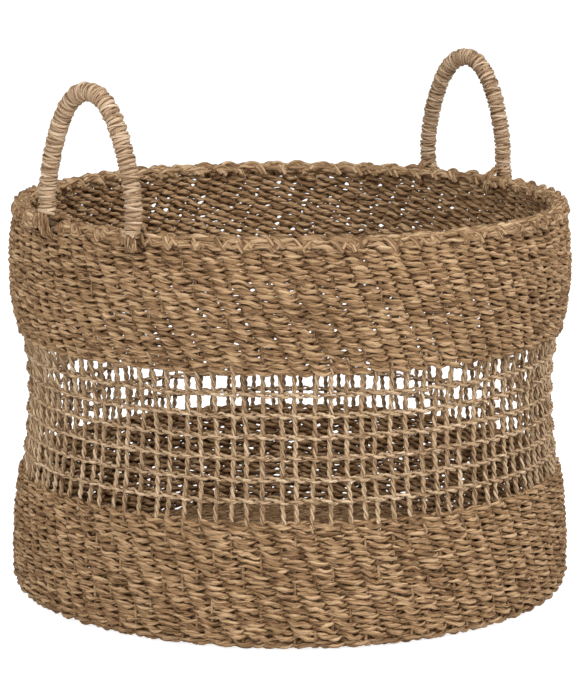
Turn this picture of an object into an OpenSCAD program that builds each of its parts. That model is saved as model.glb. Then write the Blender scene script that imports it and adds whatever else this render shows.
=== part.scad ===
// Round seagrass storage basket with two upright carrying handles.
// Millimetres, +Z up, origin at the centre of the underside, handles on +X and -X.

/* [Body] */
// Height from the underside to the top of the rim
body_h = 282; // [240:1:340]
// Outer diameter over the rim
rim_d = 400; // [340:1:480]
// How far the upper band's widest place stands out past the rim
belly_out = 2.5; // [1:0.5:5]
// How far the waist draws in from the rim
waist_in = 8; // [6:0.5:14]
// How far the lower band's widest place stands out past the rim
foot_out = 2.5; // [1:0.5:5]
// Height of the waist, as a share of the body height
waist_share = 0.532; // [0.45:0.01:0.6]
// Height of the widest place of the upper band, as a share of the body height
belly_share = 0.833; // [0.8:0.01:0.87]
// Height where the lower band starts to draw in
foot_z = 24; // [18:1:34]

/* [Weave] */
// Height of the lower dense band, underside included
lower_band_h = 87; // [72:1:105]
// Height of the upper dense band, rim included
upper_band_h = 94; // [78:1:113]
// Aimed height of one dense row of weft
row_h = 5; // [4:0.1:6.5]
// Number of twined rows across the open waist
open_rows = 6; // [6:1:6]
// Thickness of one weft layer of a dense band
weft_t = 3; // [2:0.1:4]
// Diameter of each strand of a twined row in the open waist
open_strand_d = 2.4; // [1.8:0.1:3]
// How far each row of weft swells out
row_swell = 0.7; // [0.3:0.1:1]
// Number of upright stakes
stake_count = 108; // [72:1:120]
// Diameter of a stake
stake_d = 3; // [2.4:0.1:3.6]

/* [Base] */
// Thickness of each weft layer of the base
base_weft_t = 2.8; // [2:0.1:4]
// Number of spokes in the base
spoke_count = 54; // [24:1:60]
// Radius of the bare centre where the spokes cross
spoke_start_r = 40; // [34:1:60]
// Radius of the rounded bottom corner
heel_r = 3.9; // [2:0.1:4]
// Width of the heel ring
heel_w = 13; // [11:0.5:16]

/* [Rim] */
// Diameter of the cord that runs round the rim
rim_cord_d = 8.8; // [7:0.1:10]
// Diameter of the stake ends folded over the rim cord
fold_d = 2.6; // [2:0.1:3]
// Number of folded stake ends
fold_count = 66; // [44:1:72]

/* [Handles] */
// Distance between the two legs of a handle, centre to centre
handle_w = 77; // [64:1:96]
// Height of a handle above the rim, to the middle of its rope
handle_h = 87.5; // [72:0.5:106]
// Outer diameter of the wrapped rope
handle_d = 12.4; // [10:0.2:15]
// Thickness of the cord wrapped round the rope
wrap_t = 1.6; // [1.2:0.1:2]
// How much the arch narrows towards its top, as a share of its width
arch_taper = 0.07; // [0:0.01:0.1]
// How far each foot of a handle stands out past the widest place of the upper band
foot_reach = 1.4; // [0.2:0.1:5.5]
// Gap between the rim and the foot of a handle
foot_gap = 0.8; // [0.5:0.1:2]
// Straight stretch of a leg above its foot knot
leg_h = 4; // [2:0.5:8]

/* [Anchors] */
// Diameter of each strand that ties a foot to the wall
anchor_d = 2.3; // [1.8:0.1:2.6]
// How far inside the middle of a foot the strands stand
anchor_tuck = 0.9; // [0:0.1:1.5]
// Number of strands at each foot
anchor_strands = 4; // [2:1:4]
// Distance between neighbouring strands of one foot
anchor_pitch = 2.7; // [2.7:0.1:3.2]
// Length of the straight stretch of an anchor loop
anchor_drop = 5; // [3:0.5:9]
// Diameter of the cord that ties the strands together inside the wall
tie_d = 1.8; // [1.4:0.1:2]

/* [Hidden] */
$fn = 48;
gap = 0.1;            // clearance between pieces that lie against each other
slot = 0.25;          // clearance on each face of a stake, between the weft layers
points_per_row = 4;   // points of the weft's outline for each row
stake_flats = 3;      // flats along each bent stretch of a stake
rope_sides = 12;      // flats round a rope
arch_steps = 22;      // stretches along the arch of a rope

// Heights
waist_z = waist_share * body_h;
belly_z = belly_share * body_h;
lower_z1 = lower_band_h;
upper_z0 = body_h - upper_band_h;
open_pitch = (upper_z0 - lower_z1) / (open_rows + 1);
base_t = 2 * base_weft_t + stake_d + 2 * gap;
band_z0 = base_t + gap;
rim_z = body_h - fold_d - gap - rim_cord_d / 2;
band_z1 = rim_z - rim_cord_d / 2 - gap;
lower_rows = round((lower_z1 - band_z0) / row_h);
upper_rows = round((band_z1 - upper_z0) / row_h);

// Radii of the middle of the wall, where the stakes stand
half_wall = stake_d / 2 + slot + weft_t;
rim_c = rim_d / 2 - rim_cord_d / 2 - gap - fold_d;
belly_c = rim_d / 2 + belly_out - half_wall;
waist_c = rim_d / 2 - waist_in - half_wall;
foot_c = rim_d / 2 + foot_out - half_wall;
base_r = rim_d / 2 + foot_out - heel_w - gap;

// The wall's side view is a chain of tangent arcs. Between a widest place and
// the waist, two arcs whose radii add up to swing(d, h) meet on the line between
// their centres.
function swing(d, h) = (d * d + h * h) / (2 * d);
up_sum = swing(belly_c - waist_c, belly_z - waist_z);
up_hollow = up_sum * (upper_z0 - waist_z) / (belly_z - waist_z);
up_round = up_sum - up_hollow;
low_sum = swing(foot_c - waist_c, waist_z - foot_z);
low_hollow = low_sum * (waist_z - lower_z1) / (waist_z - foot_z);
low_round = low_sum - low_hollow;
top_drop = belly_c - rim_c;
top_round = swing(top_drop, rim_z - belly_z);

function chord(r, z) = r - sqrt(r * r - z * z);
function wall_r(z) =
    z <= foot_z ? foot_c :
    z <= lower_z1 ? foot_c - chord(low_round, z - foot_z) :
    z <= waist_z ? waist_c + chord(low_hollow, waist_z - z) :
    z <= upper_z0 ? waist_c + chord(up_hollow, z - waist_z) :
    z <= belly_z ? belly_c - chord(up_round, belly_z - z) :
    belly_c - chord(top_round, z - belly_z);

// Handles
foot_z_axis = body_h + foot_gap + handle_d / 2;
foot_r = rim_d / 2 + belly_out + foot_reach;
foot_x = sqrt(foot_r * foot_r - handle_w * handle_w / 4);
foot_angle = asin(handle_w / 2 / foot_r);
core_d = handle_d - 2 * wrap_t - 2 * gap;
knot_top_z = foot_z_axis + handle_d / 2 + gap;
arch_z = knot_top_z + leg_h;
arch_h = body_h + handle_h - arch_z;

// The middle of a rope as [y, z], from one foot knot over the arch to the other
function arch_at(t) = [
    handle_w / 2 * cos(t) * (1 - arch_taper * abs(sin(2 * t))),
    arch_z + arch_h * sin(t)
];
rope_path = concat(
    [[handle_w / 2, knot_top_z]],
    [for (i = [0 : arch_steps]) arch_at(180 * i / arch_steps)],
    [[-handle_w / 2, knot_top_z]]
);

// Anchor loops stand across the rim, from just inside the rim cord to under the foot
anchor_out = foot_r - anchor_tuck;
anchor_in = rim_c - rim_cord_d / 2 - anchor_d / 2 - 3 * gap;
anchor_r = (anchor_out - anchor_in) / 2;
anchor_c = anchor_out - anchor_r;
anchor_bore = anchor_r - anchor_d / 2 - gap;
cord_room = anchor_bore - rim_cord_d / 2;
anchor_z1 = rim_z - sqrt(cord_room * cord_room - (anchor_c - rim_c) * (anchor_c - rim_c));
anchor_z0 = anchor_z1 - anchor_drop;
anchor_half = anchor_pitch * (anchor_strands - 1) / 2 + anchor_d / 2;
fold_clear = asin((anchor_half + fold_d / 2 + gap) / rim_c);
stake_clear = asin((anchor_half + stake_d / 2 + gap) / anchor_in);

// The strands pass through the wall in a slot between two rows
pass_z0 = anchor_z0 - anchor_r - anchor_d / 2 - gap;
pass_out = wall_r(pass_z0) + half_wall - anchor_c;
pass_z1 = anchor_z0 - sqrt(anchor_bore * anchor_bore - pass_out * pass_out);

straw = [0.66, 0.53, 0.36];
pale_straw = [0.76, 0.64, 0.48];
dark_straw = [0.50, 0.38, 0.24];

// How far round the basket an angle is from the nearest foot of a handle
function from_foot(a) = min([for (f = [-1, 1], e = [0, 180, 360]) abs(a - e - f * foot_angle)]);

// Copies of a piece spaced evenly round the basket
module around(count, start = 0) {
    for (i = [0 : count - 1]) rotate(start + i * 360 / count) children();
}

// A length of round cord bent to an arc in the XZ plane, about the point [x, z]
module cord_arc(x, z, r, from, to, d) {
    translate([x, 0, z])
        rotate([90, 0, 0])
            rotate([0, 0, from])
                rotate_extrude(angle = to - from)
                    translate([r, 0])
                        circle(d = d);
}

// One row's outline swells like a half wave
function swell(i) = row_swell * sin(180 * (i % points_per_row) / points_per_row);

// Closed ring of weft. side is 1 for the outer layer and -1 for the inner one.
module weft_layer(z0, z1, rows, side) {
    steps = rows * points_per_row;
    face = stake_d / 2 + slot;
    back = [for (i = [0 : steps]) let (z = z0 + (z1 - z0) * i / steps)
        [wall_r(z) + side * face, z]];
    front = [for (i = [steps : -1 : 0]) let (z = z0 + (z1 - z0) * i / steps)
        [wall_r(z) + side * (face + weft_t - row_swell + swell(i)), z]];
    rotate_extrude()
        polygon(concat(back, front));
}

// Two strands side by side, one on each face of the stakes
module twined_ring(z) {
    for (side = [-1, 1])
        rotate_extrude()
            translate([wall_r(z) + side * (stake_d / 2 + slot + open_strand_d / 2), z])
                circle(d = open_strand_d);
}

module base_weft_under() {
    color(dark_straw)
        cylinder(r = base_r, h = base_weft_t);
}

module base_spokes() {
    color(pale_straw)
        around(spoke_count)
            translate([spoke_start_r, 0, base_t / 2])
                rotate([0, 90, 0])
                    cylinder(d = stake_d, h = base_r - spoke_start_r);
}

module base_weft_top() {
    color(straw)
        translate([0, 0, base_t - base_weft_t])
            cylinder(r = base_r, h = base_weft_t);
}

module heel_ring() {
    heel_out = rim_d / 2 + foot_out;
    color(straw)
        rotate_extrude()
            union() {
                translate([heel_out - heel_w, 0])
                    square([heel_w - heel_r, base_t]);
                translate([heel_out - heel_w, heel_r])
                    square([heel_w, base_t - 2 * heel_r]);
                translate([heel_out - heel_r, heel_r])
                    circle(r = heel_r);
                translate([heel_out - heel_r, base_t - heel_r])
                    circle(r = heel_r);
            }
}

// One stake, as wide as it is thick, from the heel up to a height
module stake(top) {
    bends = [foot_z, lower_z1, waist_z, upper_z0, belly_z, top];
    zs = concat(band_z0, foot_z, [for (k = [1 : 5], i = [1 : stake_flats])
        bends[k - 1] + (bends[k] - bends[k - 1]) * i / stake_flats]);
    last = len(zs) - 1;
    outline = concat(
        [for (z = zs) [wall_r(z) + stake_d / 2, z]],
        [for (i = [last : -1 : 0]) [wall_r(zs[i]) - stake_d / 2, zs[i]]]
    );
    rotate([90, 0, 0])
        linear_extrude(height = stake_d, center = true)
            polygon(outline);
}

// Stakes reach to under the rim cord, or end under a foot's strands where they meet them
module stakes() {
    color(pale_straw)
        for (i = [0 : stake_count - 1])
            let (a = i * 360 / stake_count)
                rotate(a)
                    stake(from_foot(a) > stake_clear ? band_z1 : pass_z0 - gap);
}

module lower_weft(side) {
    color(straw)
        weft_layer(band_z0, lower_z1, lower_rows, side);
}

// The upper band's weft parts where each foot's strands pass through the wall
module upper_weft(side) {
    color(straw)
        difference() {
            weft_layer(upper_z0, band_z1, upper_rows, side);
            for (end = [0, 180], foot = [-1, 1])
                rotate(end + foot * foot_angle)
                    translate([anchor_c - anchor_r, -anchor_half - gap, pass_z0])
                        cube([2 * anchor_r, 2 * (anchor_half + gap), pass_z1 - pass_z0]);
        }
}

module open_row(i) {
    color(pale_straw)
        twined_ring(lower_z1 + i * open_pitch);
}

module rim_cord() {
    color(straw)
        translate([0, 0, rim_z])
            rotate_extrude()
                translate([rim_c, 0])
                    circle(d = rim_cord_d);
}

// Folded stake ends, left out where an anchor crosses the rim
module rim_folds() {
    pitch = 360 / fold_count;
    r = rim_cord_d / 2 + gap + fold_d / 2;
    color(straw)
        for (i = [0 : fold_count - 1])
            let (a = (i + 0.5) * pitch)
                if (from_foot(a) > fold_clear)
                    rotate(a)
                        cord_arc(rim_c, rim_z, r, -12, 192, fold_d);
}

// One flat loop round the rim cord and through the wall
module anchor_loop() {
    cord_arc(anchor_c, anchor_z1, anchor_r, 0, 180, anchor_d);
    cord_arc(anchor_c, anchor_z0, anchor_r, 180, 360, anchor_d);
    for (side = [-1, 1])
        translate([anchor_c + side * anchor_r, 0, anchor_z0])
            cylinder(d = anchor_d, h = anchor_drop);
}

// The strands that tie one foot of a handle to the wall
module foot_anchor(end, foot) {
    color(pale_straw)
        rotate(end + foot * foot_angle)
            for (i = [0 : anchor_strands - 1])
                translate([0, (i - (anchor_strands - 1) / 2) * anchor_pitch, 0])
                    anchor_loop();
}

// A short cord lies across each foot's strands on the inside
module anchor_ties() {
    color(pale_straw)
        for (end = [0, 180], foot = [-1, 1])
            rotate(end + foot * foot_angle)
                translate([
                    anchor_c - anchor_r - anchor_d / 2 - gap - tie_d / 2,
                    -anchor_half,
                    anchor_z0 + anchor_drop / 2
                ])
                    rotate([-90, 0, 0])
                        cylinder(d = tie_d, h = 2 * anchor_half);
}

// Points round the rope's middle at one place of its path
function rope_ring(i, r) =
    let (
        last = len(rope_path) - 1,
        step = rope_path[min(i + 1, last)] - rope_path[max(i - 1, 0)],
        ahead = i == 0 ? [0, 1] : i == last ? [0, -1] : step / norm(step)
    )
    [for (k = [0 : rope_sides - 1])
        let (a = 360 * k / rope_sides)
        [
            r * sin(a),
            rope_path[i][0] + r * cos(a) * ahead[1],
            rope_path[i][1] - r * cos(a) * ahead[0]
        ]];

// Rope or sleeve of one handle: rings of points joined by flats. A sleeve has a
// bore, and its ends are flat rings.
module rope(d, bore = 0) {
    n = rope_sides;
    rings = len(rope_path);
    outer = [for (i = [0 : rings - 1]) each rope_ring(i, d / 2)];
    inner = bore > 0 ? [for (i = [0 : rings - 1]) each rope_ring(i, bore / 2)] : [];
    outer_faces = [for (i = [0 : rings - 2], k = [0 : n - 1])
        [i * n + k, (i + 1) * n + k, (i + 1) * n + (k + 1) % n, i * n + (k + 1) % n]];
    m = rings * n;
    inner_faces = [for (f = outer_faces) [f[3] + m, f[2] + m, f[1] + m, f[0] + m]];
    e = m - n;
    plain_ends = [
        [for (k = [0 : n - 1]) k],
        [for (k = [n - 1 : -1 : 0]) e + k]
    ];
    sleeve_ends = [for (k = [0 : n - 1]) let (next = (k + 1) % n) each [
        [k, next, m + next, m + k],
        [e + next, e + k, m + e + k, m + e + next]
    ]];
    polyhedron(
        points = concat(outer, inner),
        faces = bore > 0 ? concat(outer_faces, inner_faces, sleeve_ends)
            : concat(outer_faces, plain_ends),
        convexity = 4
    );
}

// The rope inside a handle
module handle_core(end) {
    color(dark_straw)
        rotate(end)
            translate([foot_x, 0, 0])
                rope(core_d);
}

// The cord wound round the rope, as a closed sleeve
module handle_wrap(end) {
    color(pale_straw)
        rotate(end)
            translate([foot_x, 0, 0])
                rope(handle_d, core_d + 2 * gap);
}

// The bound ends of the rope, which turn on the hinge axis
module handle_knots(end) {
    color(pale_straw)
        rotate(end)
            for (side = [-1, 1])
                translate([foot_x, side * handle_w / 2, foot_z_axis])
                    sphere(d = handle_d);
}

base_weft_under();
base_spokes();
base_weft_top();
heel_ring();
stakes();
lower_weft(1);  // lower_weft_outer
lower_weft(-1);  // lower_weft_inner
open_row(1);  // open_row_1
open_row(2);  // open_row_2
open_row(3);  // open_row_3
open_row(4);  // open_row_4
open_row(5);  // open_row_5
open_row(6);  // open_row_6
upper_weft(1);  // upper_weft_outer
upper_weft(-1);  // upper_weft_inner
rim_cord();
rim_folds();
foot_anchor(180, 1);  // left_anchor_front
foot_anchor(180, -1);  // left_anchor_rear
foot_anchor(0, -1);  // right_anchor_front
foot_anchor(0, 1);  // right_anchor_rear
anchor_ties();
handle_core(180);  // left_handle_core
handle_wrap(180);  // left_handle_wrap
handle_knots(180);  // left_handle_knots
handle_core(0);  // right_handle_core
handle_wrap(0);  // right_handle_wrap
handle_knots(0);  // right_handle_knots
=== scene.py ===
"""Round seagrass storage basket: dense woven bands, an open waist, a folded rim and two wrapped handles."""

import logging
import math
import random
from dataclasses import dataclass
from enum import Enum
from typing import Any, Iterable, Sequence

import bpy
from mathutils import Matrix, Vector


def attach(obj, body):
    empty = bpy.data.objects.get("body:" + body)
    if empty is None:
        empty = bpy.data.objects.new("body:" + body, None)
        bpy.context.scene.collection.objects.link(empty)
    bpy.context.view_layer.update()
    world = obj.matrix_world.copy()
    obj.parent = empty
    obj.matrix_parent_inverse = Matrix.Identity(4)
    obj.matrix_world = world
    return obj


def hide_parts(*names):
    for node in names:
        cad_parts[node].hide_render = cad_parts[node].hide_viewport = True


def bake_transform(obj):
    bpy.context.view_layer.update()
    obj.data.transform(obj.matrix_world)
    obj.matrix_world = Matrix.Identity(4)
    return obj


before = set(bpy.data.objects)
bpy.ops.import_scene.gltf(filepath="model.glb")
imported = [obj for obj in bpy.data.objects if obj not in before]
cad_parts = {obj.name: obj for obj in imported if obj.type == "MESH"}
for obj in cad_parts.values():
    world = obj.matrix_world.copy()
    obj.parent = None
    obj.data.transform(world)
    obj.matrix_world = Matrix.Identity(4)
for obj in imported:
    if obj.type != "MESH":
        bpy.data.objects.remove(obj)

LOG = logging.getLogger("basket")
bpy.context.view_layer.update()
MM = 0.001
TAU = 2.0 * math.pi
BASKET = "basket"


class Slot(Enum):
    """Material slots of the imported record."""

    WEFT = "weft"
    STAKE = "stake"
    OPEN_WEFT = "open_weft"
    RIM = "rim"
    ANCHOR = "anchor"
    WRAP = "wrap"
    CORE = "core"
    KNOT = "knot"


class Side(Enum):
    """The two handles, by the sign of X where each one stands."""

    LEFT = -1
    RIGHT = 1

    @property
    def body(self) -> str:
        """Name of the CAD body of this handle."""
        return f"{self.name.lower()}_handle"


# --- Node trees ---


class Nodes:
    """Short calls that add nodes to a node tree of any kind."""

    def __init__(self, tree: Any) -> None:
        """Take up a tree.

        Args:
            tree: The node tree that nodes are added to.
        """
        self.nodes = tree.nodes
        self.links = tree.links

    def node(self, kind: str, values: dict[str, Any] | None = None, **props: Any) -> Any:
        """Add a node.

        Args:
            kind: Blender's name of the node type.
            values: Inputs by name, each a socket to link or a plain value.
            **props: Properties of the node itself.

        Returns:
            The node.
        """
        made = self.nodes.new(kind)
        for key, value in props.items():
            setattr(made, key, value)
        return self.fill(made, values or {})

    def fill(self, node: Any, values: dict[str, Any]) -> Any:
        """Feed several inputs of a node by name and return the node."""
        for key, value in values.items():
            self.feed(node.inputs[key], value)
        return node

    def feed(self, socket: Any, value: Any) -> None:
        """Link a socket to another one, or set its plain value."""
        if isinstance(value, bpy.types.NodeSocket):
            self.links.new(value, socket)
        else:
            socket.default_value = value

    def math(self, operation: str, *values: Any) -> Any:
        """Add a maths node.

        Args:
            operation: What it does, such as ADD or SINE.
            *values: One to three sockets or numbers.

        Returns:
            Its result.
        """
        made = self.node("ShaderNodeMath", operation=operation)
        for socket, value in zip(made.inputs, values):
            self.feed(socket, value)
        return made.outputs[0]

    def add(self, a: Any, b: Any) -> Any:
        """Sum of two numbers."""
        return self.math("ADD", a, b)

    def sub(self, a: Any, b: Any) -> Any:
        """Difference of two numbers."""
        return self.math("SUBTRACT", a, b)

    def mul(self, a: Any, b: Any) -> Any:
        """Product of two numbers."""
        return self.math("MULTIPLY", a, b)

    def vector(self, x: Any, y: Any, z: Any) -> Any:
        """A vector of three numbers."""
        return self.node("ShaderNodeCombineXYZ", {"X": x, "Y": y, "Z": z}).outputs[0]

    def split(self, vector: Any) -> tuple[Any, Any, Any]:
        """The three numbers of a vector."""
        made = self.node("ShaderNodeSeparateXYZ", {"Vector": vector})
        return made.outputs[0], made.outputs[1], made.outputs[2]


class Tree(Nodes):
    """A Geometry Nodes tree under construction."""

    def __init__(self, name: str) -> None:
        """Start an empty tree with a geometry output.

        Args:
            name: Name of the node group.
        """
        self.group = bpy.data.node_groups.new(name, "GeometryNodeTree")
        super().__init__(self.group)
        for way in ("INPUT", "OUTPUT"):
            self.group.interface.new_socket("Geometry", in_out=way, socket_type="NodeSocketGeometry")
        self.entry = self.node("NodeGroupInput")
        self.exit = self.node("NodeGroupOutput")

    def size(self, name: str, default: float) -> Any:
        """Add a named decimal input.

        Args:
            name: Name of the input.
            default: Value it starts with.

        Returns:
            The socket inside the tree.
        """
        return self._add_input(name, "NodeSocketFloat", default)

    def count(self, name: str, default: int) -> Any:
        """Add a named whole-number input.

        Args:
            name: Name of the input.
            default: Value it starts with.

        Returns:
            The socket inside the tree.
        """
        return self._add_input(name, "NodeSocketInt", default)

    def _add_input(self, name: str, kind: str, default: Any) -> Any:
        """Add one input of any kind and return its socket inside the tree."""
        item = self.group.interface.new_socket(name, in_out="INPUT", socket_type=kind)
        if default is not None:
            item.default_value = default
        return next(s for s in self.entry.outputs if s.identifier == item.identifier)

    def material(self) -> Any:
        """Add the material input and return its socket inside the tree."""
        return self._add_input("Material", "NodeSocketMaterial", None)

    def noise(self, where: Any, scale: float, seed: Any, detail: float = 1.0) -> Any:
        """Smooth noise about nought.

        Args:
            where: Vector that it is read at.
            scale: How often it changes in a unit of that vector.
            seed: Fourth coordinate, which gives each piece its own pattern.
            detail: How many finer layers it has.

        Returns:
            A number between about -0.5 and 0.5.
        """
        made = self.node(
            "ShaderNodeTexNoise",
            {"Vector": where, "W": seed, "Scale": scale, "Detail": detail},
            noise_dimensions="4D",
        )
        return self.sub(made.outputs[0], 0.5)

    def copied_path(self, points: Any, amount: Any) -> Any:
        """Turn the entry's edges into a curve of even points and copy it.

        Args:
            points: Number of points along the curve.
            amount: Number of copies.

        Returns:
            The node that copies, with outputs for the curves and the index of each copy.
        """
        path = self.node("GeometryNodeMeshToCurve", {"Mesh": self.entry.outputs[0]}).outputs[0]
        path = self.node("GeometryNodeResampleCurve", {"Curve": path, "Count": points}).outputs[0]
        values = {"Geometry": path, "Amount": amount}
        return self.node("GeometryNodeDuplicateElements", values, domain="SPLINE")

    def scaled(self, vector: Any, factor: Any) -> Any:
        """A vector times a number."""
        made = self.node("ShaderNodeVectorMath", operation="SCALE")
        self.feed(made.inputs[0], vector)
        self.feed(made.inputs["Scale"], factor)
        return made.outputs[0]

    def summed(self, a: Any, b: Any) -> Any:
        """Sum of two vectors."""
        made = self.node("ShaderNodeVectorMath", operation="ADD")
        self.feed(made.inputs[0], a)
        self.feed(made.inputs[1], b)
        return made.outputs[0]

    def store(self, geometry: Any, name: str, value: Any, kind: str = "FLOAT") -> Any:
        """Keep a value as a named attribute on the points and return the geometry."""
        made = self.node(
            "GeometryNodeStoreNamedAttribute",
            {"Geometry": geometry, "Name": name},
            data_type=kind,
            domain="POINT",
        )
        socket = next(s for s in made.inputs if s.name == "Value" and s.enabled)
        self.feed(socket, value)
        return made.outputs[0]

    def stored(self, name: str) -> Any:
        """Read a named decimal attribute."""
        made = self.node("GeometryNodeInputNamedAttribute", {"Name": name}, data_type="FLOAT")
        return next(s for s in made.outputs if s.enabled)

    def cords(self, curves: Any, radius: Any, sides: Any, flat: Any, material: Any) -> None:
        """Skin curves as round cords and finish the tree.

        Each point gets the attribute "strand": how far along the cord it is in metres, and its
        place round the cord.

        Args:
            curves: Curves that carry the stored attribute "along".
            radius: Radius of a cord.
            sides: Number of sides round it.
            flat: Thickness as a share of width.
            material: Material socket.
        """
        ring = self.node("GeometryNodeCurvePrimitiveCircle", {"Resolution": sides, "Radius": 1.0}).outputs[0]
        turn = self.node("GeometryNodeSplineParameter").outputs["Factor"]
        ring = self.store(ring, "around", turn)
        squeeze = self.vector(flat, 1.0, 1.0)
        ring = self.node("GeometryNodeTransform", {"Geometry": ring, "Scale": squeeze}).outputs[0]
        skin = self.node(
            "GeometryNodeCurveToMesh",
            {"Curve": curves, "Profile Curve": ring, "Scale": radius, "Fill Caps": True},
        ).outputs[0]
        angle = self.mul(self.stored("around"), TAU)
        strand = self.vector(
            self.stored("along"),
            self.mul(self.math("COSINE", angle), radius),
            self.mul(self.math("SINE", angle), radius),
        )
        skin = self.store(skin, "strand", strand, "FLOAT_VECTOR")
        for name in ("around", "along", "thick", "strand_no", "ply_no", "copy_no"):
            skin = self.node("GeometryNodeRemoveAttribute", {"Geometry": skin, "Name": name}).outputs[0]
        skin = self.node("GeometryNodeSetShadeSmooth", {"Geometry": skin}).outputs[0]
        skin = self.node("GeometryNodeRealizeInstances", {"Geometry": skin}).outputs[0]
        skin = self.node("GeometryNodeSetMaterial", {"Geometry": skin, "Material": material}).outputs[0]
        self.links.new(skin, self.exit.inputs[0])


def placed(name: str, data: Any) -> bpy.types.Object:
    """Put a new object with the given data into the scene and return it."""
    made = bpy.data.objects.new(name, data)
    bpy.context.scene.collection.objects.link(made)
    return made


def run_tree(tree: Tree, name: str, values: dict[str, Any], source: Any = None) -> bpy.types.Object:
    """Evaluate a tree once and keep its result as a plain mesh.

    Args:
        tree: The tree.
        name: Name of the new piece.
        values: The tree's inputs by name.
        source: Curve data that the tree starts from, or None.

    Returns:
        A mesh object at the origin.
    """
    carrier = placed(f"{name}_carrier", source or bpy.data.meshes.new(name))
    modifier = carrier.modifiers.new(tree.group.name, "NODES")
    modifier.node_group = tree.group
    sockets = {i.name: i.identifier for i in tree.group.interface.items_tree if i.in_out == "INPUT"}
    for key, value in values.items():
        modifier[sockets[key]] = value
    bpy.context.view_layer.update()
    graph = bpy.context.evaluated_depsgraph_get()
    mesh = bpy.data.meshes.new_from_object(carrier.evaluated_get(graph), depsgraph=graph)
    bpy.data.objects.remove(carrier)
    mesh.name = name
    return placed(name, mesh)


def twined_row_tree() -> Tree:
    """Two cords twined round a ring: they cross between the stakes, and each has two plies.

    Returns:
        The tree. Tilt turns the face of the ring from outwards (0) to downwards (-90 degrees).
    """
    t = Tree("twined row")
    ring_r = t.size("Radius", 0.2)
    height = t.size("Height", 0.1)
    tilt = t.size("Tilt", 0.0)
    stitches = t.size("Stitches", 64.0)
    points = t.count("Points", 704)
    turn = t.size("Turn", 0.0)
    lay = t.size("Lay", 0.003)
    rise = t.size("Rise", 0.001)
    ply_lay = t.size("Ply lay", 0.0011)
    ply_turns = t.size("Ply turns", 60.0)
    cord_r = t.size("Cord radius", 0.0014)
    wander = t.size("Wander", 0.0008)
    ragged = t.size("Ragged", 0.3)
    flat = t.size("Flat", 0.85)
    sides = t.count("Sides", 6)
    seed = t.size("Seed", 1.0)
    stake_seed = t.size("Stake seed", 1.0)
    point = t.size("Pointed", 0.35)
    material = t.material()

    circle = t.node("GeometryNodeCurvePrimitiveCircle", {"Resolution": points, "Radius": ring_r}).outputs[0]
    copies = t.node("GeometryNodeDuplicateElements", {"Geometry": circle, "Amount": 4}, domain="SPLINE")
    index = copies.outputs["Duplicate Index"]
    strand = t.math("FLOOR", t.math("DIVIDE", index, 2.0))
    ply = t.math("MODULO", index, 2.0)
    curves = t.store(copies.outputs[0], "strand_no", strand)
    curves = t.store(curves, "ply_no", ply)
    strand, ply = t.stored("strand_no"), t.stored("ply_no")

    place = t.node("GeometryNodeInputIndex").outputs[0]
    share = t.math("DIVIDE", t.math("MODULO", place, points), points)
    angle = t.mul(share, TAU)
    own_seed = t.add(seed, t.add(t.mul(strand, 7.3), t.mul(ply, 3.1)))
    round_trip = t.vector(t.math("COSINE", angle), t.math("SINE", angle), 0.0)

    uneven = t.mul(t.noise(round_trip, 14.0, t.add(stake_seed, 40.0)), t.mul(ragged, 3.2))
    uneven = t.add(uneven, t.mul(t.noise(round_trip, 20.0, t.add(seed, 40.0)), t.mul(ragged, 1.6)))
    stitch = t.add(t.mul(t.mul(share, stitches), math.pi), t.add(t.mul(strand, math.pi), uneven))
    swing_out = t.math("COSINE", stitch)
    outness = t.math("ABSOLUTE", swing_out)
    across = t.mul(t.math("SIGN", swing_out), t.math("POWER", outness, 0.65))
    along_wall = t.mul(t.math("SINE", stitch), -1.0)

    loose = t.add(t.mul(t.noise(round_trip, 30.0, t.add(own_seed, 11.0)), ragged), 1.0)
    ply_angle = t.add(
        t.mul(t.mul(share, ply_turns), TAU),
        t.add(t.mul(ply, math.pi), t.mul(t.noise(round_trip, 9.0, t.add(own_seed, 5.0)), 9.0)),
    )
    face = t.add(t.mul(t.mul(lay, loose), across), t.mul(ply_lay, t.math("COSINE", ply_angle)))
    down = t.add(t.mul(rise, along_wall), t.mul(ply_lay, t.math("SINE", ply_angle)))
    face = t.add(face, t.mul(wander, t.mul(t.noise(round_trip, 5.0, t.add(seed, 21.0)), 2.0)))
    down = t.add(down, t.mul(wander, t.mul(t.noise(round_trip, 8.0, t.add(seed, 31.0)), 2.0)))
    down = t.add(down, t.mul(ragged, t.mul(t.noise(round_trip, 60.0, t.add(own_seed, 51.0)), 0.0016)))

    cos_tilt, sin_tilt = t.math("COSINE", tilt), t.math("SINE", tilt)
    out = t.add(ring_r, t.sub(t.mul(face, cos_tilt), t.mul(down, sin_tilt)))
    up = t.add(height, t.add(t.mul(face, sin_tilt), t.mul(down, cos_tilt)))
    at = t.add(angle, turn)
    spot = t.vector(t.mul(out, t.math("COSINE", at)), t.mul(out, t.math("SINE", at)), up)
    curves = t.node("GeometryNodeSetPosition", {"Geometry": curves, "Position": spot}).outputs[0]
    length = t.add(t.mul(t.mul(share, ring_r), TAU), t.mul(own_seed, 1.7))
    curves = t.store(curves, "along", length)
    curves = t.node("GeometryNodeSetCurveNormal", {"Curve": curves}, mode="Z_UP").outputs[0]
    thick = t.mul(cord_r, t.add(1.0, t.mul(t.noise(round_trip, 40.0, t.add(own_seed, 61.0), 2.0), ragged)))
    lens = t.add(t.sub(1.0, point), t.mul(point, t.mul(outness, 1.6)))
    curves = t.store(curves, "thick", t.mul(thick, lens))
    t.cords(curves, t.stored("thick"), sides, flat, material)
    return t


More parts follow.
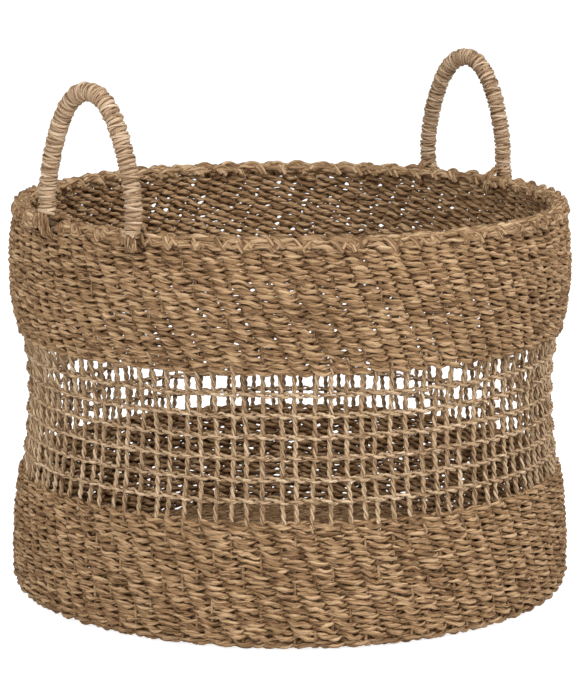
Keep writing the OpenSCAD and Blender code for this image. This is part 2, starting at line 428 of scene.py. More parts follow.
def ringed_cord_tree() -> Tree:
    """Copies of one two-ply cord spaced evenly round the basket's axis.

    Returns:
        The tree. It starts from a curve in the XZ plane.
    """
    t = Tree("ringed cords")
    copies = t.count("Copies", 100)
    points = t.count("Points", 60)
    start = t.size("Start", 0.0)
    slant = t.size("Slant", 0.0)
    jitter = t.size("Jitter", 0.0)
    plies = t.count("Plies", 2)
    ply_lay = t.size("Ply lay", 0.0008)
    ply_turns = t.size("Ply turns", 10.0)
    cord_r = t.size("Cord radius", 0.001)
    wander = t.size("Wander", 0.0006)
    ragged = t.size("Ragged", 0.3)
    sides = t.count("Sides", 6)
    seed = t.size("Seed", 1.0)
    material = t.material()
    lean = t.size("Lean", 0.0)

    many = t.copied_path(points, t.mul(copies, plies))
    index = many.outputs["Duplicate Index"]
    curves = t.store(many.outputs[0], "copy_no", t.math("FLOOR", t.math("DIVIDE", index, plies)))
    curves = t.store(curves, "ply_no", t.math("MODULO", index, plies))
    copy, ply = t.stored("copy_no"), t.stored("ply_no")
    spline = t.node("GeometryNodeSplineParameter")
    share, length = spline.outputs["Factor"], spline.outputs["Length"]
    own = t.add(seed, t.mul(copy, 1.37))
    here = t.vector(length, 0.0, 0.0)
    ply_angle = t.add(
        t.add(t.mul(share, t.mul(ply_turns, TAU)), t.math("DIVIDE", t.mul(ply, TAU), plies)),
        t.mul(copy, 2.1),
    )
    x, _, z = t.split(t.node("GeometryNodeInputPosition").outputs[0])
    tx, _, tz = t.split(t.node("GeometryNodeInputTangent").outputs[0])
    side_shift = t.mul(ply_lay, t.math("COSINE", ply_angle))
    face_shift = t.mul(ply_lay, t.math("SINE", ply_angle))
    wave = t.mul(wander, t.mul(t.noise(here, 45.0, own), 2.0))
    side_wave = t.mul(wander, t.mul(t.noise(here, 30.0, t.add(own, 500.0)), 5.0))
    face_all = t.add(face_shift, wave)
    out = t.add(x, t.mul(face_all, tz))
    up = t.sub(z, t.mul(face_all, tx))
    sideways = t.add(side_shift, side_wave)
    shift, own_lean = [
        t.mul(t.sub(t.node("FunctionNodeRandomValue", {"ID": copy, "Seed": draw}).outputs[1], 0.5), span)
        for draw, span in ((3, jitter), (8, lean))
    ]
    leaning = t.mul(t.sub(share, 0.5), t.add(slant, own_lean))
    at = t.add(start, t.add(t.mul(copy, t.math("DIVIDE", TAU, copies)), t.add(shift, leaning)))
    cos_at, sin_at = t.math("COSINE", at), t.math("SINE", at)
    spot = t.vector(
        t.sub(t.mul(out, cos_at), t.mul(sideways, sin_at)),
        t.add(t.mul(out, sin_at), t.mul(sideways, cos_at)),
        up,
    )
    along = t.add(length, t.add(t.mul(own, 1.7), t.mul(ply, 9.0)))
    curves = t.store(curves, "along", along)
    thick = t.mul(cord_r, t.add(1.0, t.mul(t.noise(here, 90.0, t.add(own, 70.0), 2.0), ragged)))
    curves = t.store(curves, "thick", thick)
    curves = t.node("GeometryNodeSetPosition", {"Geometry": curves, "Position": spot}).outputs[0]
    t.cords(curves, t.stored("thick"), sides, 1.0, material)
    return t


def laid_cord_tree() -> Tree:
    """Plies laid round any path, such as the turns of a wrapping or a rope's own strands.

    Returns:
        The tree. It starts from a mesh of edges that gives the path.
    """
    t = Tree("laid cord")
    points = t.count("Points", 200)
    plies = t.count("Plies", 2)
    lay = t.size("Lay", 0.001)
    turns = t.size("Turns", 10.0)
    cord_r = t.size("Cord radius", 0.001)
    flat = t.size("Flat", 1.0)
    swell = t.size("Swell", 0.0)
    wander = t.size("Wander", 0.0003)
    ragged = t.size("Ragged", 0.3)
    sides = t.count("Sides", 6)
    seed = t.size("Seed", 1.0)
    material = t.material()

    many = t.copied_path(points, plies)
    curves = t.store(many.outputs[0], "ply_no", many.outputs["Duplicate Index"])
    ply = t.stored("ply_no")
    spline = t.node("GeometryNodeSplineParameter")
    share = spline.outputs["Factor"]
    here = t.node("GeometryNodeInputPosition").outputs[0]
    own = t.add(seed, t.mul(ply, 3.7))
    uneven = t.mul(t.noise(here, 220.0, t.add(seed, 9.0)), t.mul(ragged, 3.0))
    turn = t.add(
        t.add(t.mul(share, t.mul(turns, TAU)), t.math("DIVIDE", t.mul(ply, TAU), plies)), uneven
    )
    bulge = t.add(1.0, t.mul(swell, t.math("SINE", t.mul(share, math.pi))))
    lumps = t.add(1.0, t.mul(t.noise(here, 260.0, t.add(own, 3.0)), t.mul(ragged, 0.35)))
    reach = t.mul(t.mul(lay, bulge), lumps)
    normal = t.node("GeometryNodeInputNormal").outputs[0]
    tangent = t.node("GeometryNodeInputTangent").outputs[0]
    side = t.node("ShaderNodeVectorMath", operation="CROSS_PRODUCT")
    t.feed(side.inputs[0], tangent)
    t.feed(side.inputs[1], normal)
    drift = t.mul(wander, t.mul(t.noise(here, 330.0, t.add(own, 17.0), 2.0), 3.0))
    shift = t.scaled(normal, t.mul(reach, t.math("COSINE", turn)))
    shift = t.summed(shift, t.scaled(side.outputs[0], t.mul(reach, t.math("SINE", turn))))
    shift = t.summed(shift, t.scaled(tangent, drift))
    run = t.add(1.0, t.mul(t.noise(here, 400.0, t.add(own, 70.0), 2.0), ragged))
    curves = t.store(curves, "thick", t.mul(cord_r, run))
    curves = t.node("GeometryNodeSetPosition", {"Geometry": curves, "Offset": shift}).outputs[0]
    curves = t.store(curves, "along", t.add(spline.outputs["Length"], t.mul(own, 1.7)))
    t.cords(curves, t.stored("thick"), sides, flat, material)
    return t


# --- Finishes ---


def linear(red: int, green: int, blue: int) -> tuple[float, float, float, float]:
    """Turn a screen colour into the linear colour that shaders take.

    Args:
        red: Red from 0 to 255.
        green: Green from 0 to 255.
        blue: Blue from 0 to 255.

    Returns:
        Linear red, green, blue and an alpha of 1.
    """
    parts = [c / 255.0 for c in (red, green, blue)]
    lit = [c / 12.92 if c <= 0.04045 else ((c + 0.055) / 1.055) ** 2.4 for c in parts]
    return (lit[0], lit[1], lit[2], 1.0)


def dry_grass_group() -> bpy.types.NodeTree:
    """Shader group for dried seagrass: long fibres, painted shade in the creases and patches of paler stem.

    Returns:
        The group. Its outputs are Color, Roughness and Height.
    """
    group = bpy.data.node_groups.new("dry grass fibre", "ShaderNodeTree")
    face = group.interface
    for name in ("Pale", "Middle", "Dark"):
        face.new_socket(name, in_out="INPUT", socket_type="NodeSocketColor")
    for name in ("Fibre length", "Fibre width", "Patches", "Contrast"):
        face.new_socket(name, in_out="INPUT", socket_type="NodeSocketFloat")
    face.new_socket("Color", in_out="OUTPUT", socket_type="NodeSocketColor")
    for name in ("Roughness", "Height"):
        face.new_socket(name, in_out="OUTPUT", socket_type="NodeSocketFloat")
    t = Nodes(group)
    entry, leave = t.node("NodeGroupInput"), t.node("NodeGroupOutput")
    strand = t.node("ShaderNodeAttribute", attribute_name="strand", attribute_type="GEOMETRY")
    length, across, outwards = t.split(strand.outputs["Vector"])

    def noise_at(fine: Any, wide: Any, detail: float, rough: float = 0.6) -> Any:
        """Noise in the strand coordinate, scaled along (fine) and across (wide) the fibre."""
        where = t.vector(t.mul(length, fine), t.mul(across, wide), t.mul(outwards, wide))
        values = {"Vector": where, "Scale": 1.0, "Detail": detail, "Roughness": rough}
        return t.node("ShaderNodeTexNoise", values).outputs[0]

    def mixed(share: Any, first: Any, second: Any, **props: Any) -> Any:
        """Mix two colours and return the result."""
        made = t.node("ShaderNodeMix", data_type="RGBA", **props)
        t.feed(made.inputs[0], share)
        for socket, value in zip([s for s in made.inputs if s.type == "RGBA"], (first, second)):
            t.feed(socket, value)
        return next(s for s in made.outputs if s.type == "RGBA")

    fibre_scale = t.math("DIVIDE", 1.0, entry.outputs["Fibre length"])
    width_scale = t.math("DIVIDE", 1.0, entry.outputs["Fibre width"])
    fibres = noise_at(fibre_scale, width_scale, 4.0, 0.7)
    coarse = noise_at(t.mul(fibre_scale, 0.5), t.mul(width_scale, 0.35), 2.0)
    patch = noise_at(entry.outputs["Patches"], 60.0, 2.0)
    speck = noise_at(700.0, 2600.0, 2.0)

    level = t.mul(t.sub(fibres, 0.5), 1.7)
    for layer, weight in ((coarse, 1.5), (patch, 1.6), (speck, 0.5)):
        level = t.add(level, t.mul(t.sub(layer, 0.5), weight))
    level = t.add(t.mul(level, entry.outputs["Contrast"]), 0.55)
    colour = mixed(t.mul(level, 2.0), entry.outputs["Dark"], entry.outputs["Middle"])
    colour = mixed(t.sub(t.mul(level, 2.0), 1.0), colour, entry.outputs["Pale"])

    # Painted shade: faces that look along the wall sink into the crease between two cords, so their colour is
    # darkened and warmed as if shaded.
    reach = t.math("POWER", t.add(t.mul(across, across), t.mul(outwards, outwards)), 0.5)
    facing = t.math("ABSOLUTE", t.math("DIVIDE", across, t.add(reach, 1e-6)))
    shade = t.math("MINIMUM", t.add(t.mul(facing, 0.9), 0.42), 1.0)
    painted_shade_warmth = {"Green": t.math("POWER", shade, 1.15), "Blue": t.math("POWER", shade, 1.35)}
    painted_crease_shade = t.node("ShaderNodeCombineColor", {"Red": shade, **painted_shade_warmth})
    # The fibre colour is multiplied by the painted crease shade.
    t.fill(leave, {
        "Color": mixed(1.0, colour, painted_crease_shade.outputs[0], blend_type="MULTIPLY"),
        "Roughness": t.add(t.mul(fibres, 0.25), 0.58),
        "Height": t.add(t.mul(fibres, 0.7), t.mul(coarse, 0.5)),
    })
    return group


@dataclass(frozen=True)
class GrassFinish:
    """A finish of dried grass, from its darkest fibres to its palest stems; the shader group paints shade into
    its creases.
    """

    name: str
    pale: tuple[int, int, int]
    middle: tuple[int, int, int]
    dark: tuple[int, int, int]
    fibre_length: float = 0.018
    fibre_width: float = 0.00055
    patches: float = 26.0
    contrast: float = 1.0
    relief: float = 0.00035

    def build(self, group: bpy.types.NodeTree) -> bpy.types.Material:
        """Make the material.

        Args:
            group: The dry grass shader group.

        Returns:
            The material.
        """
        made = bpy.data.materials.new(self.name)
        made.use_nodes = True
        t = Nodes(made.node_tree)
        fibre = t.node("ShaderNodeGroup", {
            "Pale": linear(*self.pale),
            "Middle": linear(*self.middle),
            "Dark": linear(*self.dark),
            "Fibre length": self.fibre_length,
            "Fibre width": self.fibre_width,
            "Patches": self.patches,
            "Contrast": self.contrast,
        }, node_tree=group).outputs
        relief = {"Strength": 0.8, "Distance": self.relief, "Height": fibre["Height"]}
        t.fill(t.nodes["Principled BSDF"], {
            "Base Color": fibre["Color"],
            "Roughness": fibre["Roughness"],
            "Normal": t.node("ShaderNodeBump", relief).outputs[0],
            "Specular IOR Level": 0.28,
        })
        made.diffuse_color = linear(*self.middle)
        return made


@dataclass
class Workshop:
    """The trees and finishes that every part of the basket is made with."""

    row: Tree
    ringed: Tree
    laid: Tree
    finishes: dict[str, bpy.types.Material]

    @classmethod
    def opened(cls) -> "Workshop":
        """Build every tree and finish once."""
        group = dry_grass_group()
        kinds = (
            GrassFinish("weft_grass", (214, 180, 140), (154, 119, 82), (76, 49, 28), contrast=1.15),
            GrassFinish(
                "open_grass", (232, 206, 172), (186, 154, 118), (100, 71, 45), patches=20.0, contrast=1.1
            ),
            GrassFinish("rim_grass", (222, 192, 153), (165, 130, 93), (84, 56, 33), contrast=1.1),
            GrassFinish("wrap_grass", (234, 209, 180), (190, 159, 126), (112, 82, 55), contrast=1.1),
            GrassFinish("base_grass", (200, 168, 130), (148, 115, 80), (78, 51, 29), contrast=1.1),
        )
        finishes = {kind.name: kind.build(group) for kind in kinds}
        return cls(twined_row_tree(), ringed_cord_tree(), laid_cord_tree(), finishes)

    def make(self, tree: Tree, name: str, finish: str, source: Any = None, **values: Any) -> bpy.types.Object:
        """Make one piece from a tree and a finish.

        Args:
            tree: One of the workshop's trees.
            name: Name of the piece.
            finish: Name of its finish.
            source: Curve data that the tree starts from, or None.
            **values: The tree's inputs, in lower case with underscores for spaces.

        Returns:
            A mesh object at the origin.
        """
        inputs = {key.replace("_", " ").capitalize(): value for key, value in values.items()}
        return run_tree(tree, name, {**inputs, "Material": self.finishes[finish]}, source)


# --- The basket ---


def swing(offset: float, height: float) -> float:
    """Radius of the arc that moves sideways by offset over a height."""
    return (offset * offset + height * height) / (2.0 * offset)


def chord(radius: float, rise: float) -> float:
    """How far an arc has moved sideways after a rise."""
    return radius - math.sqrt(radius * radius - rise * rise)


@dataclass(frozen=True)
class Wall:
    """Middle line of the wall: out at the heel, in at the waist, out at the belly and in to the rim."""

    foot_r: float = 0.19775
    waist_r: float = 0.1872
    belly_r: float = 0.19775
    rim_r: float = 0.1929
    foot_z: float = 0.024
    lower_z: float = 0.087
    waist_z: float = 0.150024
    upper_z: float = 0.188
    belly_z: float = 0.234906
    rim_z: float = 0.2749

    def radius(self, z: float) -> float:
        """Radius of the wall's middle line.

        Args:
            z: Height above the floor.

        Returns:
            The radius at that height.
        """
        low_sum = swing(self.foot_r - self.waist_r, self.waist_z - self.foot_z)
        low_hollow = low_sum * (self.waist_z - self.lower_z) / (self.waist_z - self.foot_z)
        up_sum = swing(self.belly_r - self.waist_r, self.belly_z - self.waist_z)
        up_hollow = up_sum * (self.upper_z - self.waist_z) / (self.belly_z - self.waist_z)
        if z <= self.foot_z:
            return self.foot_r
        if z <= self.lower_z:
            return self.foot_r - chord(low_sum - low_hollow, z - self.foot_z)
        if z <= self.waist_z:
            return self.waist_r + chord(low_hollow, self.waist_z - z)
        if z <= self.upper_z:
            return self.waist_r + chord(up_hollow, z - self.waist_z)
        if z <= self.belly_z:
            return self.belly_r - chord(up_sum - up_hollow, self.belly_z - z)
        top_arc = swing(self.belly_r - self.rim_r, self.rim_z - self.belly_z)
        return self.belly_r - chord(top_arc, z - self.belly_z)


def path_mesh(name: str, lines: Sequence[Sequence[Sequence[float]]]) -> bpy.types.Mesh:
    """Make a mesh of edges from one or more lines of points.

    Args:
        name: Name of the mesh.
        lines: Each line's points in order, in metres.

    Returns:
        The mesh.
    """
    points: list[Sequence[float]] = []
    edges: list[tuple[int, int]] = []
    for line in lines:
        first = len(points)
        points.extend(line)
        edges.extend((i, i + 1) for i in range(first, len(points) - 1))
    mesh = bpy.data.meshes.new(name)
    mesh.from_pydata(points, edges, [])
    return mesh


def settle(piece: bpy.types.Object, body: str, nodes: Iterable[str]) -> bpy.types.Object:
    """Hand a finished piece to the frame.

    Args:
        piece: The mesh object.
        body: CAD body that it rides on.
        nodes: CAD nodes that it stands for.

    Returns:
        The same piece.
    """
    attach(piece, body)
    for node in nodes:
        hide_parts(node)
    LOG.info("%s: %d faces on %s", piece.name, len(piece.data.polygons), body)
    return piece


@dataclass
class DenseBand:
    """A band of the wall whose twined rows lie close together."""

    shop: Workshop
    wall: Wall
    name: str
    first_z: float
    last_z: float
    rows: int
    stitches: int
    seed: float
    nodes: tuple[str, ...]
    finish: str = "weft_grass"
    cord_r: float = 0.00142
    ply_lay: float = 0.00098
    lay: float = 0.0028
    rise: float = 0.0017
    points: int = 590
    drift: float = 0.0102

    def build(self) -> None:
        """Twine every row of the band, each a little further round than the one below."""
        for i in range(self.rows):
            z = self.first_z + (self.last_z - self.first_z) * i / (self.rows - 1)
            seed = self.seed + 13.7 * i
            piece = self.shop.make(
                self.shop.row, f"{self.name}_{i + 1:02d}", self.finish,
                radius=self.wall.radius(z), height=z, turn=-self.drift * i,
                stitches=float(self.stitches), points=self.points,
                lay=self.lay, rise=self.rise, ply_lay=self.ply_lay,
                ply_turns=66.0 + 5.0 * math.sin(1.7 * i), cord_radius=self.cord_r,
                wander=0.0008, ragged=0.6, flat=0.8, pointed=0.4, sides=6, seed=seed, stake_seed=self.seed,
            )
            settle(piece, BASKET, self.nodes)


@dataclass
class OpenRows:
    """The six spaced rows that hold the bare stakes at the waist."""

    shop: Workshop
    wall: Wall
    rows: int = 6
    stitches: int = 108
    first_z: float = 0.10143
    pitch: float = 0.01443

    def build(self) -> None:
        """Twine each row, one crossing between every two stakes."""
        for i in range(self.rows):
            z = self.first_z + self.pitch * i
            piece = self.shop.make(
                self.shop.row, f"open_twine_{i + 1}", "open_grass",
                radius=self.wall.radius(z), height=z, turn=0.0,
                stitches=float(self.stitches), points=756,
                lay=0.0021, rise=0.0011, ply_lay=0.00055,
                ply_turns=150.0 + 8.0 * i, cord_radius=0.00092,
                wander=0.0014, ragged=0.5, flat=0.9, pointed=0.3, sides=6, seed=300.0 + 11.3 * i,
            )
            settle(piece, BASKET, (f"open_row_{i + 1}",))


@dataclass
class Stakes:
    """The upright two-ply cords, bare at the waist and buried in the bands."""

    shop: Workshop
    wall: Wall
    copies: int = 108
    low_z: float = 0.076
    high_z: float = 0.2

    def _profile(self, low: float, high: float, steps: int) -> list[tuple[float, float, float]]:
        """Points of the wall's middle line between two heights."""
        heights = [low + (high - low) * i / steps for i in range(steps + 1)]
        return [(self.wall.radius(z), 0.0, z) for z in heights]

    def build(self) -> None:
        """Lay the bare lengths and the buried cores."""
        bare = path_mesh("stake_path", [self._profile(self.low_z, self.high_z, 32)])
        piece = self.shop.make(
            self.shop.ringed, "stake_cords", "open_grass", bare,
            copies=self.copies, points=64, slant=0.0, jitter=0.018, lean=0.045,
            plies=2, ply_lay=0.0009, ply_turns=11.0, cord_radius=0.0011,
            wander=0.0008, ragged=0.45, sides=6, seed=700.0,
        )
        settle(piece, BASKET, ("stakes",))
        for name, low, high in (("stake_roots", 0.006, 0.078), ("stake_tops", 0.198, 0.272)):
            buried = path_mesh(name, [self._profile(low, high, 12)])
            piece = self.shop.make(
                self.shop.ringed, name, "base_grass", buried,
                copies=self.copies, points=16, jitter=0.02,
                plies=1, ply_lay=0.0, cord_radius=0.0014, sides=5, seed=720.0,
            )
            settle(piece, BASKET, ("stakes",))


@dataclass
class Rim:
    """The edge: three rows of twining under stake ends that are folded over them."""

    shop: Workshop
    wall: Wall
    folds: int = 66
    arc_drop: float = 0.0015

    def _arc(self, start: float, stop: float, reach: float, steps: int = 14) -> list[tuple[float, ...]]:
        """Points over the edge, by angle: outside (0), top (90), inside (180)."""
        angles = [math.radians(start + (stop - start) * i / steps) for i in range(steps + 1)]
        radius, z = self.wall.rim_r, self.wall.rim_z - self.arc_drop
        return [(radius + reach * math.cos(a), 0.0, z + reach * math.sin(a)) for a in angles]

    def build(self) -> None:
        """Twine cords along the edge, then fold knots of stake ends over them."""
        # Name, radius, height, tilt, stitches, lay, rise and seed.
        edges = (
            ("rim_twine_low", 0.1948, 0.2732, 0.25, 66.0, 0.0032, 0.0016, 900.0),
            ("rim_twine_high", 0.1936, 0.2776, 0.45, 66.0, 0.0030, 0.0017, 912.0),
            ("rim_twine_inner", 0.1905, 0.2762, 2.5, 60.0, 0.0024, 0.0014, 924.0),
        )
        for name, radius, z, tilt, stitches, lay, rise, seed in edges:
            piece = self.shop.make(
                self.shop.row, name, "rim_grass",
                radius=radius, height=z, tilt=tilt, turn=0.013 * seed,
                stitches=stitches, points=600, lay=lay, rise=rise,
                ply_lay=0.0011, ply_turns=60.0, cord_radius=0.0015,
                wander=0.0011, ragged=0.6, flat=0.85, pointed=0.35, sides=6, seed=seed, stake_seed=900.0,
            )
            settle(piece, BASKET, ("rim_cord",))
        pitch = TAU / self.folds
        # Name, first and last angle, reach, share of a pitch shifted and slanted, cord radius and seed.
        families = (
            ("rim_folds_over", 190.0, -25.0, 0.0046, 0.0, 0.5, 0.0018, 940.0),
            ("rim_folds_beside", 175.0, 5.0, 0.0049, 0.24, 0.62, 0.0016, 950.0),
            ("rim_folds_along", 150.0, 0.0, 0.0046, 0.62, -0.8, 0.0018, 960.0),
        )
        for name, start, stop, reach, shift, slant, cord_r, seed in families:
            path = path_mesh(name, [self._arc(start, stop, reach)])
            piece = self.shop.make(
                self.shop.ringed, name, "rim_grass", path,
                copies=self.folds, points=18, start=shift * pitch, slant=slant * pitch,
                jitter=0.045, lean=0.03, plies=2, ply_lay=0.0009, ply_turns=0.8,
                cord_radius=cord_r, wander=0.0009, ragged=0.6, sides=7, seed=seed,
            )
            settle(piece, BASKET, ("rim_folds",))


@dataclass
class Base:
    """The flat bottom: rings of twining round spokes, closed by the heel row."""

    shop: Workshop
    middle_z: float = 0.0044
    first_r: float = 0.0065
    last_r: float = 0.1865
    pitch: float = 0.0058
    spokes: int = 54
    stitch: float = 0.018
    point_gap: float = 0.0031

    def build(self) -> None:
        """Twine the bottom from its middle outwards, then lay the spokes and the heel."""
        count = int(round((self.last_r - self.first_r) / self.pitch)) + 1
        groups = (("base_twine_middle", 0, 18), ("base_twine_outer", 18, count))
        for name, first, stop in groups:
            rings = [self._ring(i, count) for i in range(first, stop)]
            piece = joined(name, rings)
            settle(piece, BASKET, ("base_weft_under", "base_weft_top"))
        spoke = path_mesh("spoke_path", [[(0.012, 0.0, self.middle_z), (0.1895, 0.0, self.middle_z)]])
        piece = self.shop.make(
            self.shop.ringed, "base_spoke_cords", "base_grass", spoke,
            copies=self.spokes, points=24, plies=1, ply_lay=0.0, jitter=0.01,
            cord_radius=0.0013, wander=0.0003, sides=6, seed=1100.0,
        )
        settle(piece, BASKET, ("base_spokes",))
        for i, (radius, z, tilt) in enumerate(((0.1935, 0.0046, -0.6), (0.1968, 0.0052, -0.25))):
            piece = self.shop.make(
                self.shop.row, f"heel_twine_{i + 1}", "base_grass",
                radius=radius, height=z, tilt=tilt, turn=0.4 * i,
                stitches=66.0, points=560, lay=0.0018, rise=0.001,
                ply_lay=0.0011, ply_turns=70.0, cord_radius=0.0014,
                wander=0.0004, ragged=0.4, flat=0.9, sides=6, seed=1200.0 + 9.0 * i,
            )
            settle(piece, BASKET, ("heel_ring",))

    def _ring(self, i: int, count: int) -> bpy.types.Object:
        """Twine one ring of the bottom."""
        radius = self.first_r + (self.last_r - self.first_r) * i / (count - 1)
        around = TAU * radius
        stitches = max(4, 2 * int(round(around / self.stitch / 2.0)))
        return self.shop.make(
            self.shop.row, f"base_ring_{i + 1:02d}", "base_grass",
            radius=radius, height=self.middle_z, tilt=-math.pi / 2.0, turn=1.7 * i,
            stitches=float(stitches), points=max(24, int(around / self.point_gap)),
            lay=0.0018, rise=0.0011, ply_lay=0.0009, ply_turns=float(int(around / self.stitch)),
            cord_radius=0.00135, wander=0.0004, ragged=0.4, flat=0.9, sides=5, seed=1000.0 + 7.9 * i,
        )


def joined(name: str, pieces: Sequence[bpy.types.Object]) -> bpy.types.Object:
    """Join meshes that share their material into one piece.

    Args:
        name: Name of the result.
        pieces: The objects, which are used up.

    Returns:
        The joined object.
    """
    with bpy.context.temp_override(
        active_object=pieces[0], object=pieces[0], selected_objects=list(pieces),
        selected_editable_objects=list(pieces),
    ):
        bpy.ops.object.join()
    pieces[0].name = name
    pieces[0].data.name = name
    return pieces[0]


@dataclass
class Handle:
    """A rope handle: a wound arch whose feet are tied to the wall with bare strands."""

    shop: Workshop
    side: Side
    half_w: float
    arch_h: float
    taper: float
    wrap_ends: tuple[float, float]
    foot_x: float = 0.200232
    foot_z: float = 0.289
    arch_z: float = 0.2993
    foot_lean: float = 0.0025
    lean_over: float = 0.012
    leg_steps: int = 6
    arch_steps: int = 60
    points_per_turn: int = 20

    def _place(self, y: float, z: float) -> tuple[float, float, float]:
        """A point of the rope's middle, which leans out a little below the hinge."""
        lean = self.foot_lean * max(0.0, self.foot_z - z) / self.lean_over
        return (self.side.value * (self.foot_x + lean), y, z)

    def _path(self) -> list[tuple[float, float, float]]:
        """The middle of the rope, from one foot over the arch to the other."""
        points = []
        for foot, low in ((1, self.wrap_ends[0]), (-1, self.wrap_ends[1])):
            leg = [
                self._place(foot * self.half_w, low + (self.arch_z - low) * i / self.leg_steps)
                for i in range(self.leg_steps)
            ]
            if foot > 0:
                points += leg
                for i in range(self.arch_steps + 1):
                    t = math.pi * i / self.arch_steps
                    y = self.half_w * math.cos(t) * (1.0 - self.taper * abs(math.sin(2.0 * t)))
                    points.append(self._place(y, self.arch_z + self.arch_h * math.sin(t)))
            else:
                points += reversed(leg)
        return points

    def _length(self, points: Sequence[Sequence[float]]) -> float:
        """Length of a line of points."""
        return sum((Vector(a) - Vector(b)).length for a, b in zip(points, points[1:]))

    def _wind(self, label: str, pitch: float, lay: float, cord_r: float, ragged: float, seed: float) -> None:
        """Wind one layer of cord round the whole rope.

        Args:
            label: Ending of the piece's name.
            pitch: Distance between turns.
            lay: Distance of the cord's middle from the rope's.
            cord_r: Radius of the cord.
            ragged: How uneven it is.
            seed: Seed of its unevenness.
        """
        path = self._path()
        turns = self._length(path) / pitch
        name = self.side.body
        piece = self.shop.make(
            self.shop.laid, f"{name}_{label}", "wrap_grass", path_mesh(name, [path]),
            points=int(abs(turns) * self.points_per_turn), plies=1, lay=lay, turns=turns, cord_radius=cord_r,
            flat=0.8, swell=0.07, wander=0.0007, ragged=ragged, sides=7, seed=seed + 50.0 * self.side.value,
        )
        self._hinge(piece, (f"{name}_wrap", f"{name}_knots"))

    def _hinge(self, piece: bpy.types.Object, nodes: Sequence[str]) -> None:
        """Bake a piece's place into its mesh and hide the CAD nodes that it stands for.

        Args:
            piece: The mesh object.
            nodes: CAD nodes that it stands for.
        """
        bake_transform(piece)
        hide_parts(*nodes)
        LOG.info("%s: %d faces, bends with %s", piece.name, len(piece.data.polygons), self.side.body)

    def build(self) -> None:
        """Lay the rope, wind it twice and tie both feet."""
        name = self.side.body
        core = self.shop.make(
            self.shop.laid, f"{name}_rope", "wrap_grass", path_mesh(name, [self._path()]),
            points=160, plies=3, lay=0.0023, turns=9.0, cord_radius=0.0027, swell=0.07,
            wander=0.0002, ragged=0.2, sides=8, seed=1600.0 + 50.0 * self.side.value,
        )
        self._hinge(core, (f"{name}_core",))
        self._wind("winding", 0.0031, 0.0046, 0.0016, 0.7, 1500.0)
        self._wind("overwinding", -0.0068, 0.0054, 0.00105, 0.9, 1550.0)
        for foot, label, low in ((1, "a", self.wrap_ends[0]), (-1, "b", self.wrap_ends[1])):
            self._tie(foot, label, low)

    def _tie(self, foot: int, label: str, low: float) -> None:
        """Bring bare strands from the foot down the wall, through it, and up the inside.

        Args:
            foot: Which foot, by the sign of its Y.
            label: Ending of the piece's name.
            low: Height where the winding ends.
        """
        rng = random.Random(40 + 7 * foot + 3 * self.side.value)
        sign, tie_r = self.side.value, 0.2034
        lines = []
        for i in range(6):
            across = (i - 2.5) * 0.0013
            spread = rng.uniform(-0.0012, 0.0012) - (i - 2.5) * 0.0005
            drop = rng.uniform(-0.0022, 0.0022)
            y = foot * self.half_w + across
            out = rng.uniform(-0.0006, 0.0008)
            inner = rng.uniform(-0.0012, 0.0014)
            # Radius and height: down the outside, through the wall, up the inside and back to the foot.
            profile = [
                (0.2040 + out, low + 0.003), (0.2042 + out, low - 0.002), (0.2034 + out, low - 0.006),
                (0.2022 + out, min(low - 0.009, 0.2740) + drop), (0.2004, 0.2722 + drop),
                (0.1975, 0.2700 + drop), (0.1930, 0.2690 + drop), (0.1880, 0.2690 + drop),
                (0.1860 + inner, 0.2700 + drop), (0.1858 + inner, 0.2755), (0.1880 + inner, 0.2810),
                (0.1930, 0.2840 + inner), (0.1980, 0.2838 + inner), (0.2015, low + 0.002),
            ]
            steps = len(profile) - 1
            turn = rng.uniform(-0.0010, 0.0010)
            lines.append([
                (sign * r, y * r / tie_r + spread * math.sin(math.pi * k / steps) + turn * math.sin(k * 0.9), z)
                for k, (r, z) in enumerate(profile)
            ])
        body = self.side.name.lower()
        piece = self.shop.make(
            self.shop.laid, f"{body}_foot_strands_{label}", "rim_grass", path_mesh(body, lines),
            points=60, plies=2, lay=0.0006, turns=4.0, cord_radius=0.0008, flat=0.9,
            wander=0.0002, ragged=0.6, sides=6, seed=1700.0 + 20.0 * foot + 5.0 * sign,
        )
        near = "front" if foot * sign < 0 else "rear"
        settle(piece, BASKET, (f"{body}_anchor_{near}", "anchor_ties"))


# --- The studio ---


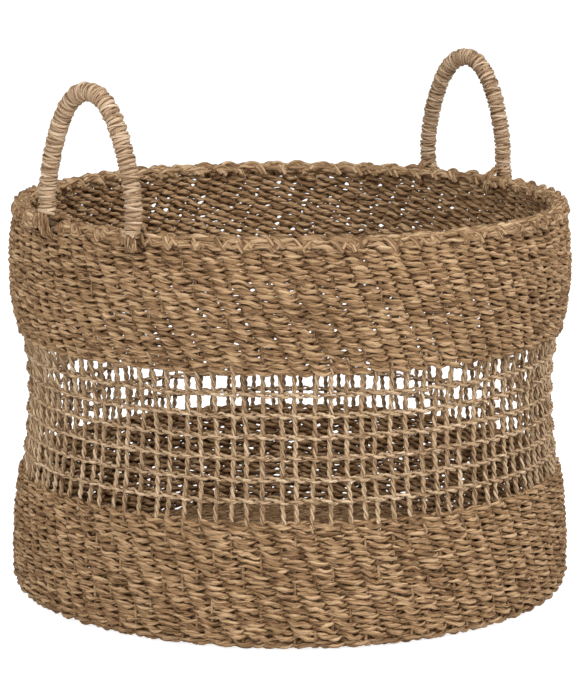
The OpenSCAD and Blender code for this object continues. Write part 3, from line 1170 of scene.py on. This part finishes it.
@dataclass
class Studio:
    """White floor, even soft light and the camera."""

    distance: float = 2.21
    azimuth: float = -48.0
    elevation: float = 11.5
    pivot_z: float = 0.141
    aim_z: float = 0.1684
    lens: float = 188.7

    def build(self) -> None:
        """Set the floor, the lights, the world and the camera."""
        self._camera()
        self._floor()
        self._lights()

    def _camera(self) -> None:
        """Place the camera."""
        data = bpy.data.cameras.new("camera")
        data.lens = self.lens
        data.sensor_width = 36.0
        data.sensor_fit = "HORIZONTAL"
        data.clip_end = 50.0
        made = placed("camera", data)
        turn, lift = math.radians(self.azimuth), math.radians(self.elevation)
        away = Vector((math.sin(turn) * math.cos(lift), -math.cos(turn) * math.cos(lift), math.sin(lift)))
        made.location = Vector((0.0, 0.0, self.pivot_z)) + away * self.distance
        look = Vector((0.0, 0.0, self.aim_z)) - made.location
        made.rotation_euler = look.to_track_quat("-Z", "Y").to_euler()
        bpy.context.scene.camera = made

    def _floor(self) -> None:
        """Lay the white floor."""
        mesh = bpy.data.meshes.new("floor")
        half = 6.0
        corners = [(-half, -half, 0), (half, -half, 0), (half, half, 0), (-half, half, 0)]
        mesh.from_pydata(corners, [], [(0, 1, 2, 3)])
        floor = placed("floor", mesh)
        white = bpy.data.materials.new("white_floor")
        white.use_nodes = True
        t = Nodes(white.node_tree)
        ray = t.node("ShaderNodeLightPath").outputs["Is Camera Ray"]
        glow = t.node("ShaderNodeMapRange", {"To Min": 0.08, "To Max": 0.85, "Value": ray})
        t.fill(t.nodes["Principled BSDF"], {
            "Base Color": (0.85, 0.85, 0.85, 1.0),
            "Roughness": 0.9,
            "Specular IOR Level": 0.1,
            "Emission Color": (1.0, 1.0, 1.0, 1.0),
            "Emission Strength": glow.outputs[0],
        })
        mesh.materials.append(white)

    def _lights(self) -> None:
        """Set an even white surround with soft light from above and both sides."""
        scene = bpy.context.scene
        world = bpy.data.worlds.new("surround")
        world.use_nodes = True
        t = Nodes(world.node_tree)
        seen = t.fill(t.nodes["Background"], {"Color": (1.0, 1.0, 1.0, 1.0), "Strength": 1.05})
        lit = t.node("ShaderNodeBackground", {"Color": (1.0, 0.99, 0.97, 1.0), "Strength": 0.22})
        either = t.node("ShaderNodeMixShader")
        ray = t.node("ShaderNodeLightPath").outputs["Is Camera Ray"]
        for socket, value in zip(either.inputs, (ray, lit.outputs[0], seen.outputs[0])):
            t.feed(socket, value)
        t.feed(t.nodes["World Output"].inputs[0], either.outputs[0])
        scene.world = world
        scene.view_settings.view_transform = "Standard"
        middle = Vector((0.0, 0.0, 0.15))
        for name, spot, power, size in (
            ("left", (-2.8, -0.5, 1.3), 26.0, 1.1),
            ("right", (0.7, -2.6, 1.7), 40.0, 1.1),
            ("front", (-1.7, -1.5, 2.5), 36.0, 1.1),
            ("top", (-0.3, 0.0, 3.0), 12.0, 1.2),
        ):
            data = bpy.data.lights.new(name, "AREA")
            data.energy = power
            data.size = size
            lamp = placed(name, data)
            lamp.location = spot
            lamp.rotation_euler = (middle - Vector(spot)).to_track_quat("-Z", "Y").to_euler()


def main() -> None:
    """Build the basket and the studio."""
    logging.basicConfig(level=logging.INFO, format="%(name)s: %(message)s")
    shop = Workshop.opened()
    wall = Wall()
    for name, first_z, last_z, rows, stitches, seed in (
        ("lower", 0.0105, 0.0850, 17, 80, 10.0),
        ("upper", 0.1905, 0.2692, 18, 90, 150.0),
    ):
        nodes = (f"{name}_weft_outer", f"{name}_weft_inner")
        DenseBand(shop, wall, f"{name}_twine", first_z, last_z, rows, stitches, seed, nodes).build()
    OpenRows(shop, wall).build()
    Stakes(shop, wall).build()
    Rim(shop, wall).build()
    Base(shop).build()
    Handle(shop, Side.LEFT, half_w=0.0413, arch_h=0.0722, taper=0.1, wrap_ends=(0.2860, 0.2785)).build()
    Handle(shop, Side.RIGHT, half_w=0.0366, arch_h=0.0680, taper=0.07, wrap_ends=(0.2775, 0.2765)).build()
    Studio().build()


if __name__ == "__main__":
    main()
